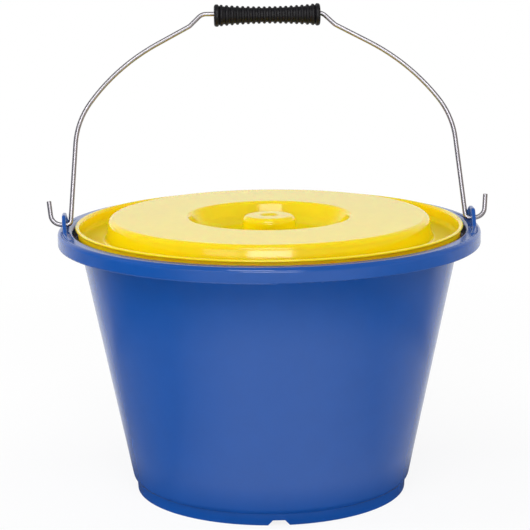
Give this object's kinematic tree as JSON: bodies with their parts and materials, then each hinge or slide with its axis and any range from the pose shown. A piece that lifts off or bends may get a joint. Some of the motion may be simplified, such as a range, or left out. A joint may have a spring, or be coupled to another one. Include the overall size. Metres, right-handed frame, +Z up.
{
  "type": "bucket with lid",
  "caption": "Round moulded bucket with a drop-in lid lifted by a knob in its recess, and a wire bail with a ribbed grip that swings on ears on the rim.",
  "frame": {"origin": "middle of the foot ring's underside, on the ground", "axes": "+Z up, X through both ears, the bail leans back towards +Y"},
  "size_m": [0.3786, 0.3598, 0.4107],
  "materials": {
    "blue_plastic": "satin",
    "yellow_plastic": "satin",
    "steel_wire": "galvanised",
    "black_plastic": "satin"
  },
  "bodies": {
    "bucket": {"bucket": "blue_plastic"},
    "lid": {"lid": "yellow_plastic"},
    "bail": {"bail_wire": "steel_wire"},
    "grip": {"grip": "black_plastic"}
  },
  "joints": [
    {"name": "lid_lift", "type": "slide", "parent": "bucket", "child": "lid", "axis": [0, 0, 1], "range_m": [0, 0.03]},
    {"name": "bail_swing", "type": "hinge", "parent": "bucket", "child": "bail", "pos_m": [0, 0, 0.2326], "axis": [1, 0, 0], "range_deg": [-63, 119]},
    {"name": "grip_spin", "type": "hinge", "parent": "bail", "child": "grip", "pos_m": [0.0044, 0.08948, 0.40089], "axis": [1, 0, 0], "continuous": true}
  ]
}
